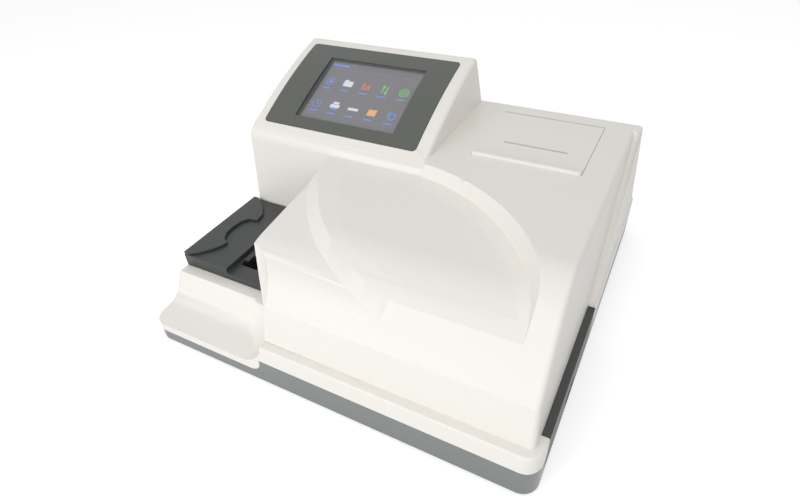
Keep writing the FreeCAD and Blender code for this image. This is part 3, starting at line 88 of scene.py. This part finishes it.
def moulded_plastic(name, colour, roughness, grain, depth):
    """A moulded plastic: one colour through, and the grain of the mould in its skin, in millimetres."""
    material = new_material(name)
    place = add_node(material, "ShaderNodeTexCoord")
    pits = add_node(material, "ShaderNodeTexNoise", sockets={"Scale": 1 / (grain * MM), "Detail": 2.0},
                    links={"Vector": place.outputs["Object"]})
    skin = add_node(material, "ShaderNodeBump", sockets={"Strength": depth, "Distance": GRAIN_HEIGHT * MM},
                    links={"Height": pits.outputs["Fac"]})
    shader = add_node(material, "ShaderNodeBsdfPrincipled",
                      sockets={"Base Color": linear(colour), "Roughness": roughness, "IOR": PLASTIC_IOR},
                      links={"Normal": skin.outputs["Normal"]})
    return show(material, shader.outputs["BSDF"])


def only(piece):
    """Leaves one piece selected and active."""
    bpy.ops.object.select_all(action="DESELECT")
    piece.select_set(True)
    bpy.context.view_layer.objects.active = piece


SAME_POINT = 0.01
FLAT_WITHIN = 1.0


def copy_of(node, title):
    """A piece of its own from a CAD node, its triangles joined to flat faces that never bend inwards."""
    only(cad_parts[node])
    bpy.ops.object.duplicate()
    piece = bpy.context.object
    piece.name = title
    piece.parent = None
    piece.matrix_world = Matrix.Identity(4)
    for key in list(piece.keys()):
        del piece[key]
    bpy.ops.object.mode_set(mode="EDIT")
    bpy.ops.mesh.select_all(action="SELECT")
    bpy.ops.mesh.remove_doubles(threshold=SAME_POINT * MM)
    bpy.ops.mesh.dissolve_limited(angle_limit=math.radians(FLAT_WITHIN))
    bpy.ops.mesh.select_all(action="SELECT")
    bpy.ops.mesh.vert_connect_concave()
    bpy.ops.mesh.select_all(action="DESELECT")
    bpy.ops.object.mode_set(mode="OBJECT")
    return piece


SHARP_EDGE = 24.0
SMOOTH_BELOW = 30.0
BIG_FACE_WEIGHT = 90


def round_edges(piece, radius, steps=3):
    """Rounds the mould's sharp edges, and shades the rest smooth while big faces stay flat."""
    only(piece)
    bevel = piece.modifiers.new("edges", "BEVEL")
    bevel.width = radius * MM
    bevel.segments = steps
    bevel.limit_method = "ANGLE"
    bevel.angle_limit = math.radians(SHARP_EDGE)
    bevel.use_clamp_overlap = True
    bpy.ops.object.modifier_apply(modifier="edges")
    bpy.ops.object.shade_smooth_by_angle(angle=math.radians(SMOOTH_BELOW))
    flat = piece.modifiers.new("flat faces", "WEIGHTED_NORMAL")
    flat.keep_sharp = True
    flat.weight = BIG_FACE_WEIGHT
    bpy.ops.object.modifier_apply(modifier="flat faces")


def finish_piece(piece, material, body, slot, *nodes):
    """Gives a piece its material and its body, and hides the CAD nodes it stands for. The slot is not
    used.
    """
    piece.data.materials.clear()
    piece.data.materials.append(material)
    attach(piece, body)
    if nodes:
        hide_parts(*nodes)


def shader_of(material):
    """The main shader of a material."""
    return next(part for part in material.node_tree.nodes if part.type == "BSDF_PRINCIPLED")


# Dark grey ABS with a fine grain: low sheen, reads as charcoal with a slightly green cast.
grey_abs = moulded_plastic("Grained dark grey ABS", "363A38", 0.46, 0.7, 0.25)
# The base's dark grey ABS, the same plastic as the tray, drawn lighter and part metallic: a painted sheen
# standing in for the bright table it reflects.
base_sheen_grey = moulded_plastic("Base grey with painted sheen", "7A7E7C", 0.34, 0.7, 0.15)
SHEEN_METALLIC = 0.6
shader_of(base_sheen_grey).inputs["Metallic"].default_value = SHEEN_METALLIC
BASE_EDGE = 0.9
base = copy_of("base_chassis", "base_tray")
round_edges(base, BASE_EDGE)
finish_piece(base, base_sheen_grey, "housing", "base_grey", "base_chassis")


# Feet
# Four turned rubber pads glued into shallow pockets under the base.

def paint_nodes(material, *names):
    """Gives CAD nodes that stay as they are their material."""
    for name in names:
        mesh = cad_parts[name].data
        mesh.materials.clear()
        mesh.materials.append(material)


# Cast rubber: black, dull, without a highlight.
foot_rubber = moulded_plastic("Cast black rubber", "1C1C1C", 0.8, 0.5, 0.2)
paint_nodes(foot_rubber, "rubber_feet")


# Upper housing
# One large white ABS moulding: skirt, hood, display box and side rib in one skin of 2.8 mm,
# screwed on from below. Two drafted arcs step its hood down, with soft corners at their top
# and foot.

# White ABS with a fine grain: warm off-white, soft wide highlights.
white_abs = moulded_plastic("Grained white ABS", "E9E6E0", 0.42, 0.6, 0.12)

# Places are millimetres across from the middle, back from the base's front and up from its
# underside. An arc is its centre, then its radius at the foot and at the top of its wall.
ROUND_ARC = (-5.5, -0.6, 175.2, 180.6)
ROUND_ARC_HEIGHTS = (129.4, 145.4)
LOW_ARC = (92.6, 217.0, 180.0, 191.5)
LOW_ARC_END = 70.0
HALF_DEPTH = 184.0
FOOT = 3.0
ARC_MISS = 0.6
WALL_FOOT = (166.03, 27.3)
WALL_LEAN = 0.0916
WALL_END = 22.0
WALL_MISS = 1.2
HOOD_LOW = 112.0
STEPS_LOW = 100.0
ROUND_ARC_EDGE = 3.0
LOW_ARC_EDGE = 3.4
WALL_FOOT_EDGE = 2.2
HOUSING_EDGE = 1.4


def plan_radius(point, x, y):
    """Distance in plan of a point from an upright axis, in millimetres."""
    return math.hypot(point.x / MM - x, point.y / MM + HALF_DEPTH - y)


def on_round_arc(point):
    """True on the drafted wall of the leaf's right side."""
    x, y, foot_radius, top_radius = ROUND_ARC
    foot, top = ROUND_ARC_HEIGHTS
    share = (point.z / MM - FOOT - foot) / (top - foot)
    wall = foot_radius + (top_radius - foot_radius) * share
    return abs(plan_radius(point, x, y) - wall) < ARC_MISS


def on_low_arc(point):
    """True at the top and foot of the slanting band between the leaf and the lowest field."""
    x, y, *radii = LOW_ARC
    miss = min(abs(plan_radius(point, x, y) - radius) for radius in radii)
    return point.x < LOW_ARC_END * MM and miss < ARC_MISS


def on_wall_foot(point):
    """True where the display box's leaning front wall rises from the hood."""
    height = point.z / MM - FOOT
    wall = WALL_FOOT[0] + WALL_LEAN * (height - WALL_FOOT[1])
    miss = abs(point.y / MM + HALF_DEPTH - wall)
    return height > HOOD_LOW and miss < WALL_MISS and point.x < WALL_END * MM


def soften_step(piece, test, radius, steps):
    """Rounds the top and foot of a step whose wall passes a test."""
    only(piece)
    bpy.ops.object.mode_set(mode="EDIT")
    bpy.ops.mesh.select_all(action="DESELECT")
    bpy.ops.object.mode_set(mode="OBJECT")
    normals = {}
    for face in piece.data.polygons:
        for key in face.edge_keys:
            normals.setdefault(key, []).append(face.normal)
    for edge in piece.data.edges:
        a, b = (piece.data.vertices[index].co for index in edge.vertices)
        sides = normals.get(edge.key, [])
        high = min(a.z, b.z) >= STEPS_LOW * MM
        if high and len(sides) == 2 and sides[0].angle(sides[1]) >= math.radians(SHARP_EDGE):
            edge.select = test(a) and test(b)
    bpy.ops.object.mode_set(mode="EDIT")
    bpy.ops.mesh.select_mode(type="EDGE")
    bpy.ops.mesh.bevel(offset=radius * MM, segments=steps, affect="EDGES", clamp_overlap=True)
    bpy.ops.object.mode_set(mode="OBJECT")


housing = copy_of("top_cover", "white_housing")
soften_step(housing, on_round_arc, ROUND_ARC_EDGE, 5)
soften_step(housing, on_low_arc, LOW_ARC_EDGE, 5)
soften_step(housing, on_wall_foot, WALL_FOOT_EDGE, 4)
round_edges(housing, HOUSING_EDGE)
finish_piece(housing, white_abs, "housing", "housing_white", "top_cover")


# Display frame
# A dark grey convex bezel that snaps into a bed in the display box.

# Satin grey ABS: a lighter charcoal than the tray, with a slightly tighter highlight.
bezel_abs = moulded_plastic("Satin dark grey ABS", "525550", 0.40, 0.6, 0.15)
BEZEL_EDGE = 0.5
bezel = copy_of("screen_bezel", "display_bezel")
round_edges(bezel, BEZEL_EDGE)
finish_piece(bezel, bezel_abs, "housing", "bezel_grey", "screen_bezel")


# Colour screen
# A 5.7 inch TFT module behind the touch glass, shown switched on with a plain menu: a header
# line and two rows of picture buttons, each with a short bar under it.

SLOPE = math.radians(23.55)
SCREEN_SLAB = 88.8
screen_low, screen_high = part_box("lcd_module")
face_start = Vector((0, screen_low.y, screen_high.z - SCREEN_SLAB * MM * math.sin(SLOPE)))
face_middle = (screen_low.x + screen_high.x) / 2
SCREEN_WIDTH = 114.0
SCREEN_HEIGHT = 84.0
SCREEN_EDGE = 2.4


def lit(name, colour, strength):
    """A lit patch of the screen."""
    material = new_material(name)
    shader = add_node(material, "ShaderNodeBsdfPrincipled",
                      sockets={"Base Color": linear("101014"), "Roughness": 0.35,
                               "Emission Color": linear(colour), "Emission Strength": strength})
    return show(material, shader.outputs["BSDF"])


def to_screen(piece, across, up, lift):
    """Carries a flat piece, drawn about the origin, to its place on the tilted screen."""
    only(piece)
    tilt = Matrix.Rotation(SLOPE, 4, "X")
    start = Matrix.Translation(face_start + Vector((face_middle, 0, 0)))
    place = Matrix.Translation(Vector((across * MM, (up + SCREEN_EDGE) * MM, lift * MM)))
    piece.matrix_world = start @ tilt @ place @ piece.matrix_world
    bpy.ops.object.transform_apply(location=True, rotation=True, scale=True)


def plate(width, height, across=0.0, up=0.0):
    """A flat rectangle on the screen's plane, in millimetres."""
    bpy.ops.object.select_all(action="DESELECT")
    bpy.ops.mesh.primitive_plane_add(size=1, location=(across * MM, up * MM, 0))
    bpy.context.object.scale = (width * MM, height * MM, 1)
    bpy.ops.object.transform_apply(location=True, rotation=True, scale=True)
    return bpy.context.object


def disc(radius, across=0.0, up=0.0, corners=28, turn=0.0):
    """A flat disc or even-sided shape on the screen's plane, in millimetres."""
    bpy.ops.object.select_all(action="DESELECT")
    bpy.ops.mesh.primitive_circle_add(vertices=corners, radius=radius * MM, fill_type="NGON",
                                      location=(across * MM, up * MM, 0),
                                      rotation=(0, 0, math.radians(turn)))
    bpy.ops.object.transform_apply(location=True, rotation=True, scale=True)
    return bpy.context.object


def hoop(radius, width, across=0.0, up=0.0):
    """A flat ring on the screen's plane: a disc with its middle inset and taken out."""
    piece = disc(radius, across, up)
    bpy.ops.object.mode_set(mode="EDIT")
    bpy.ops.mesh.select_all(action="SELECT")
    bpy.ops.mesh.inset(thickness=width * MM)
    bpy.ops.mesh.delete(type="FACE")
    bpy.ops.object.mode_set(mode="OBJECT")
    return piece


def joined(pieces, title):
    """Several flat shapes as one piece."""
    bpy.ops.object.select_all(action="DESELECT")
    for piece in pieces:
        piece.select_set(True)
    bpy.context.view_layer.objects.active = pieces[0]
    bpy.ops.object.join()
    pieces[0].name = title
    return pieces[0]


# LCD back plane: dark slate glow, as a lit TFT shows black.
slate = lit("Lit TFT background", "4E4E5C", 0.46)
paint_nodes(slate, "lcd_module")

PICTURE_UP = (54.0, 22.5)
PICTURE_ACROSS = (-44.0, -22.0, 0.0, 22.0, 44.0)
LABEL = (9.4, 1.5)
LABEL_DROP = 9.6
HEADER_UP = (72.5, 77.5)
HEADER_MARGIN = 6.0
HEADER_LINE = 0.5
HEADER_BAR = (20.0, 2.6, -42.0)
LIFT = 0.12
HIGH_LIFT = 0.2
SHADE_LIFT = 0.3

white_glow = lit("Lit white pixels", "D8DCE8", 0.9)
blue_glow = lit("Lit blue pixels", "5A82E0", 0.9)
green_glow = lit("Lit green pixels", "6CCB62", 0.9)
red_glow = lit("Lit red pixels", "E0604A", 0.9)
amber_glow = lit("Lit amber pixels", "E6A860", 0.9)
line_glow = lit("Lit header line", "6C6C86", 0.8)


def picture(parts, material, across, up, title, lift=LIFT):
    """One colour of a picture button, joined, laid on the screen and lit."""
    piece = joined(parts, title)
    to_screen(piece, across, up, lift)
    finish_piece(piece, material, "housing", "screen")


# Black sheets under the glass along the screen's left and top edges: painted shade of the bezel opening's
# inner walls, seen as a dark line inside the frame.
painted_recess_shade = moulded_plastic("Painted recess shade", "14161C", 0.5, 0.5, 0.0)
RECESS_SHADE_WIDTHS = (3.0, 1.6)
side_recess_shade = plate(RECESS_SHADE_WIDTHS[0], SCREEN_HEIGHT, (RECESS_SHADE_WIDTHS[0] - SCREEN_WIDTH) / 2, SCREEN_HEIGHT / 2)
top_recess_shade = plate(SCREEN_WIDTH, RECESS_SHADE_WIDTHS[1], 0, SCREEN_HEIGHT - RECESS_SHADE_WIDTHS[1] / 2)
picture([side_recess_shade, top_recess_shade], painted_recess_shade, 0, 0, "painted_recess_shade", SHADE_LIFT)

header = plate(SCREEN_WIDTH - HEADER_MARGIN, HEADER_LINE)
picture([header], line_glow, 0, HEADER_UP[0], "header_line")
picture([plate(*HEADER_BAR)], blue_glow, 0, HEADER_UP[1], "header_bar")

# Ten picture buttons. A plate is its width, height and place, a hoop its radius and line width,
# and a disc its radius, place, corners and turn.
BAR = 1.8
STEM = 1.2
HAND = 0.9
top, low = PICTURE_UP
one, two, three, four, five = PICTURE_ACROSS
picture([hoop(5.0, 1.0), disc(2.2)], blue_glow, one, top, "round_button")
picture([plate(11.0, 7.4), plate(4.4, 1.6, -3.0, 4.4)], white_glow, two, top, "folder_button")
picture([plate(BAR, 9.0, -3.4), plate(BAR, 6.0, 0.0, -1.5), plate(BAR, 7.6, 3.4, -0.7)],
        red_glow, three, top, "bar_chart_button")
picture([plate(STEM, 9.0, -2.2), disc(2.4, -2.2, 4.2, 3, 0),
         plate(STEM, 9.0, 2.2), disc(2.4, 2.2, -4.2, 3, 180)],
        green_glow, four, top, "arrows_button")
picture([hoop(5.2, HAND), hoop(2.6, HAND)], green_glow, five, top, "ring_button")
picture([hoop(5.0, 0.8), plate(HAND, 3.8, 0, 1.6), plate(3.0, HAND, 1.2, 0)],
        blue_glow, one, low, "clock_button")
picture([plate(11.0, 4.4), plate(7.0, 3.0, 0, 4.2)], white_glow, two, low, "printer_button")
picture([plate(7.0, 2.6, 0, -3.4)], blue_glow, two, low, "printer_paper", HIGH_LIFT)
picture([plate(12.0, 3.4)], white_glow, three, low, "socket_button")
picture([plate(9.6, 8.0)], amber_glow, four, low, "box_button")
picture([hoop(4.4, 1.2, 0.8, -0.4), disc(2.8, -3.0, 2.6, 3, 60)], blue_glow, five, low, "return_button")
for row in PICTURE_UP:
    for column in PICTURE_ACROSS:
        picture([plate(*LABEL)], blue_glow, column, row - LABEL_DROP, "label_bar")


# Touch glass
# A clear glass touch panel glued behind the bezel, over the screen.

# Float glass: clear, with a thin bright reflection.
glass = new_material("Clear float glass")
gloss = add_node(glass, "ShaderNodeBsdfPrincipled",
                 sockets={"Base Color": linear("FFFFFF"), "Roughness": 0.02, "IOR": 1.5, "Alpha": 0.10,
                          "Specular IOR Level": 0.5})
show(glass, gloss.outputs["BSDF"])
paint_nodes(glass, "touch_panel")


# Printer door
# A square white ABS lid over the paper roll, with a raised grip lip in front and a slot for
# the paper. It swings up on a steel pin at its rear edge and carries the platen roller.

DOOR_EDGE = 0.45
door = copy_of("printer_door", "door_lid")
round_edges(door, DOOR_EDGE)
finish_piece(door, white_abs, "printer_door", "housing_white", "printer_door")


# Strip tray
# A dark grey tray that the test strips lie on. A stepped channel and a window lead the strip
# under the hood, and a thicker guide plate with a finger notch lies at its outer end.

TRAY_EDGE = 0.7
GUIDE_EDGE = 0.6
PUSHER_EDGE = 0.5
tray = copy_of("strip_tray", "sample_tray")
round_edges(tray, TRAY_EDGE)
finish_piece(tray, grey_abs, "tray", "tray_grey", "strip_tray")
guide = copy_of("strip_guide_plate", "guide_plate")
round_edges(guide, GUIDE_EDGE)
finish_piece(guide, grey_abs, "tray", "tray_grey", "strip_guide_plate")

# Black POM: the pusher and the small moulded fittings inside, dark with a waxy sheen.
black_pom = moulded_plastic("Moulded black POM", "1E1F20", 0.38, 0.5, 0.1)
pusher = copy_of("strip_pusher", "pusher_bar")
round_edges(pusher, PUSHER_EDGE)
finish_piece(pusher, black_pom, "pusher", "inner_black", "strip_pusher")


# Waste drawer
# A dark grey bin behind a flush front in the right side, on two plastic runners.

DRAWER_EDGE = 0.8
drawer = copy_of("waste_drawer", "waste_bin")
round_edges(drawer, DRAWER_EDGE)
finish_piece(drawer, grey_abs, "drawer", "tray_grey", "waste_drawer")


# Label film
# A clear leaf-shaped polyester film, glued into the middle of the hood.

# Clear polyester film: lets the housing show through, and only its rim and gloss are seen.
film_clear = new_material("Clear polyester film")
film_gloss = add_node(film_clear, "ShaderNodeBsdfPrincipled",
                      sockets={"Base Color": linear("F4F2EC"), "Roughness": 0.3, "IOR": 1.55,
                               "Alpha": 0.04})
show(film_clear, film_gloss.outputs["BSDF"])
paint_nodes(film_clear, "label_film")


# Inner pieces
# Motors, rods, boards and fittings that show through the tray window, the printer bay or the
# sockets, each in the material it is bought in.

SMEAR = 4.0
UNEVEN = 0.06


def metal(name, colour, roughness):
    """A plain metal with a slightly uneven polish."""
    material = new_material(name)
    place = add_node(material, "ShaderNodeTexCoord")
    smear = add_node(material, "ShaderNodeTexNoise", sockets={"Scale": 1 / (SMEAR * MM), "Detail": 3.0},
                     links={"Vector": place.outputs["Object"]})
    polish = add_node(material, "ShaderNodeMapRange",
                      sockets={"To Min": roughness - UNEVEN, "To Max": roughness + UNEVEN},
                      links={"Value": smear.outputs["Fac"]})
    shader = add_node(material, "ShaderNodeBsdfPrincipled",
                      sockets={"Base Color": linear(colour), "Metallic": 1.0},
                      links={"Roughness": polish.outputs["Result"]})
    return show(material, shader.outputs["BSDF"])


# Zinc-plated steel: cool grey with soft reflections.
plated_steel = metal("Zinc-plated steel", "B4B6BA", 0.38)
# Rolled aluminium sheet: lighter and duller than the steel.
sheet_aluminium = metal("Rolled aluminium sheet", "C8CACC", 0.46)
# Rolled motor can: darker, satin.
motor_can = metal("Nickel-plated motor can", "8E9094", 0.34)
# Ground silicone rubber: black and matt.
roller_rubber = moulded_plastic("Ground black rubber", "202020", 0.7, 0.4, 0.1)
# Natural POM: the small gears and pulleys, milky white.
natural_pom = moulded_plastic("Natural white POM", "DAD8CF", 0.35, 0.5, 0.05)
# Thermal paper: bright white, dull, with the thin lines of its wound edge too fine to show.
thermal_paper = moulded_plastic("Wound thermal paper", "F0F0EC", 0.75, 0.3, 0.05)
# Solder mask over fibreglass: deep green and glossy.
board_green = moulded_plastic("Green solder mask", "1D5A34", 0.28, 1.5, 0.03)

paint_nodes(plated_steel, "cover_screws", "display_bracket", "display_screws", "door_hinge_pin",
            "print_head", "printer_frame", "pusher_screw", "optics_rods", "board_standoffs",
            "power_supply", "rear_panel", "serial_port", "usb_ports", "network_port")
paint_nodes(sheet_aluminium, "transport_frame", "rod_brackets")
paint_nodes(motor_can, "printer_motor", "pusher_motor", "optics_motor")
paint_nodes(roller_rubber, "platen_roller", "optics_belt")
paint_nodes(natural_pom, "platen_gear", "motor_gear", "drive_pulley", "idler_pulley")
paint_nodes(thermal_paper, "paper_roll", "white_reference")
paint_nodes(board_green, "display_board", "lamp_board", "main_board")
paint_nodes(black_pom, "printer_tub", "screw_bearing", "drawer_runners", "optics_carriage", "lens_tube",
            "speaker", "power_inlet", "switch_body", "power_rocker")


# Floor, lamps and camera
# A plain white table in an even white room, two wide soft lamps in front and a weaker one
# above, and the camera where the photograph was taken from.

def seen_rays(owner):
    """One for the rays that reach the eye directly, in a reflection or through glass, else zero."""
    rays = add_node(owner, "ShaderNodeLightPath")
    seen = add_node(owner, "ShaderNodeMath", {"operation": "MAXIMUM"},
                    links={0: rays.outputs["Is Camera Ray"], 1: rays.outputs["Is Glossy Ray"]})
    seen = add_node(owner, "ShaderNodeMath", {"operation": "MAXIMUM"},
                    links={0: seen.outputs[0], 1: rays.outputs["Is Transmission Ray"]})
    return seen.outputs[0]


TABLE_SIZE = 12.0
TABLE_DROP = 0.0002
TABLE_GLOW = 0.5
bpy.ops.object.select_all(action="DESELECT")
bpy.ops.mesh.primitive_plane_add(size=TABLE_SIZE, location=(0, 0, -TABLE_DROP))
table_top = bpy.context.object
table_top.name = "table_top"
table_white = new_material("Matt white table")
glow = add_node(table_white, "ShaderNodeMath", {"operation": "MULTIPLY"}, sockets={1: TABLE_GLOW},
                links={0: seen_rays(table_white)})
surface = add_node(table_white, "ShaderNodeBsdfPrincipled",
                   sockets={"Base Color": linear("E4E4E4"), "Roughness": 0.9, "Specular IOR Level": 0.0,
                            "Emission Color": linear("FFFFFF")},
                   links={"Emission Strength": glow.outputs[0]})
show(table_white, surface.outputs["BSDF"])
table_top.data.materials.append(table_white)

ROOM_LEVEL = 0.55
room = bpy.data.worlds.new("White room")
bpy.context.scene.world = room
room.use_nodes = True
room.node_tree.nodes.clear()
room_level = add_node(room, "ShaderNodeMapRange", sockets={"To Min": ROOM_LEVEL, "To Max": 1.0},
                      links={"Value": seen_rays(room)})
room_light = add_node(room, "ShaderNodeBackground", sockets={"Color": linear("FFFFFF")},
                      links={"Strength": room_level.outputs["Result"]})
add_node(room, "ShaderNodeOutputWorld", links={"Surface": room_light.outputs["Background"]})

LAMP_AIM = (0, 0, 0.08)
LAMP_WIDTH = 0.8
LAMPS = (("left_soft_box", (-0.5, -1.14, 0.72), 5.2),
         ("right_soft_box", (0.35, -1.2, 0.5), 4.3),
         ("top_soft_box", (0.2, 0.1, 1.3), 1.8))
for title, place, power in LAMPS:
    bpy.ops.object.select_all(action="DESELECT")
    aim = (Vector(LAMP_AIM) - Vector(place)).to_track_quat("-Z", "Y").to_euler()
    bpy.ops.object.light_add(type="AREA", location=place, rotation=aim)
    lamp = bpy.context.object
    lamp.name = title
    lamp.data.energy = power
    lamp.data.size = LAMP_WIDTH

TURN = math.radians(29.94)
LOOK_DOWN = math.radians(38.67)
ROLL = math.radians(3.54)
CAMERA_PLACE = (0.2111, -0.3915, 0.3949)
LENS = 24.47
SENSOR = 36.0
NEAREST = 0.01
forward = Vector((-math.sin(TURN) * math.cos(LOOK_DOWN), math.cos(TURN) * math.cos(LOOK_DOWN),
                  -math.sin(LOOK_DOWN)))
level = Vector((math.cos(TURN), math.sin(TURN), 0))
below = forward.cross(level)
across = level * math.cos(ROLL) + below * math.sin(ROLL)
above = level * math.sin(ROLL) - below * math.cos(ROLL)
bpy.ops.object.camera_add()
camera = bpy.context.object
turned = Matrix((across, above, -forward)).transposed().to_4x4()
camera.matrix_world = Matrix.Translation(CAMERA_PLACE) @ turned
camera.data.lens = LENS
camera.data.sensor_width = SENSOR
camera.data.clip_start = NEAREST
bpy.context.scene.camera = camera
bpy.context.scene.view_settings.view_transform = "Standard"
